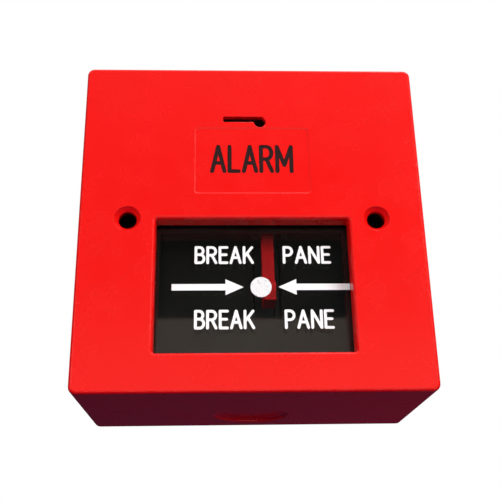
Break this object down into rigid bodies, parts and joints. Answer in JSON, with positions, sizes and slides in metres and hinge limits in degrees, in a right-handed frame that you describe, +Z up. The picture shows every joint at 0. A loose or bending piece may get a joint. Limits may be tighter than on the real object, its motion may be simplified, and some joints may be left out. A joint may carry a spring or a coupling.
{
  "type": "manual call point",
  "caption": "Square red surface-mounted manual call point with a recessed press pane, side screw wells, a key slot and a sprung lever and switch inside.",
  "frame": {"origin": "centre of the rear mounting face, on the wall", "axes": "+Y into the wall, so the front faces -Y; +X to the viewer's right; +Z up"},
  "size_m": [0.086, 0.045, 0.087],
  "materials": {
    "red_housing": "glossy moulded ABS",
    "red_lever": "moulded nylon",
    "black_plastic": "moulded ABS",
    "black_rubber": "soft rubber",
    "clear_glass": "float glass, printed in white",
    "white_nylon": "moulded nylon",
    "grey_nylon": "moulded nylon",
    "zinc_steel": "zinc plated",
    "spring_steel": "bright drawn wire",
    "brass": "turned or pressed brass",
    "tinned_brass": "tinned brass",
    "red_pvc": "PVC insulation",
    "black_pvc": "PVC insulation",
    "blue_pvc": "PVC insulation"
  },
  "bodies": {
    "housing": {"front_cover": "red_housing", "base_plate": "red_housing", "cover_screw_left": "zinc_steel", "cover_screw_right": "zinc_steel", "post_insert_left": "brass", "post_insert_right": "brass", "pane_gasket": "black_rubber", "pane_spring_upper_left": "spring_steel", "pane_spring_lower_left": "spring_steel", "pane_spring_upper_right": "spring_steel", "pane_spring_lower_right": "spring_steel", "chassis": "black_plastic", "chassis_screw_1": "zinc_steel", "chassis_screw_2": "zinc_steel", "chassis_screw_3": "zinc_steel", "chassis_screw_4": "zinc_steel", "lever_pin": "zinc_steel", "pin_clip_left": "spring_steel", "pin_clip_right": "spring_steel", "lever_spring": "spring_steel", "switch_body": "black_plastic", "switch_lid": "black_plastic", "switch_tab_common": "tinned_brass", "switch_tab_normally_open": "tinned_brass", "switch_tab_normally_closed": "tinned_brass", "switch_screw_1": "zinc_steel", "switch_screw_2": "zinc_steel", "terminal_block": "grey_nylon", "block_screw_left": "zinc_steel", "block_screw_right": "zinc_steel", "clamp_cage_1": "brass", "clamp_cage_2": "brass", "clamp_cage_3": "brass", "clamp_cage_4": "brass", "clamp_screw_1": "zinc_steel", "clamp_screw_2": "zinc_steel", "clamp_screw_3": "zinc_steel", "clamp_screw_4": "zinc_steel", "wire_common": "red_pvc", "wire_normally_open": "black_pvc", "wire_normally_closed": "blue_pvc", "slide_spring": "spring_steel"},
    "pane": {"glass_pane": "clear_glass", "pane_carrier": "black_plastic"},
    "lever": {"actuator_lever": "red_lever"},
    "plunger": {"switch_plunger": "white_nylon"},
    "test_slide": {"test_slide": "white_nylon"}
  },
  "joints": [
    {"name": "pane_press", "type": "slide", "parent": "housing", "child": "pane", "axis": [0, 1, 0], "range_m": [0, 0.0025], "stiffness_N_per_m": 1500, "springref_m": -0.003, "deforming": ["pane_spring_upper_left", "pane_spring_lower_left", "pane_spring_upper_right", "pane_spring_lower_right"]},
    {"name": "lever_swing", "type": "hinge", "parent": "housing", "child": "lever", "pos_m": [0.0043, -0.03, 0.005], "axis": [1, 0, 0], "range_deg": [0, 7.1], "stiffness_Nm_per_rad": 0.002, "springref_deg": -17.19, "deforming": ["lever_spring"]},
    {"name": "plunger_travel", "type": "slide", "parent": "housing", "child": "plunger", "axis": [0, 1, 0], "range_m": [0, 0.0016], "stiffness_N_per_m": 30, "springref_m": -0.0005},
    {"name": "test_slide_travel", "type": "slide", "parent": "housing", "child": "test_slide", "axis": [0, 0, -1], "range_m": [0, 0.003], "stiffness_N_per_m": 150, "springref_m": -0.003, "deforming": ["slide_spring"]}
  ],
  "couplings": [
    {"joint": "lever_swing", "follows": "pane_press", "rad_per_m": 48.78},
    {"joint": "plunger_travel", "follows": "pane_press", "ratio": 0.634}
  ]
}
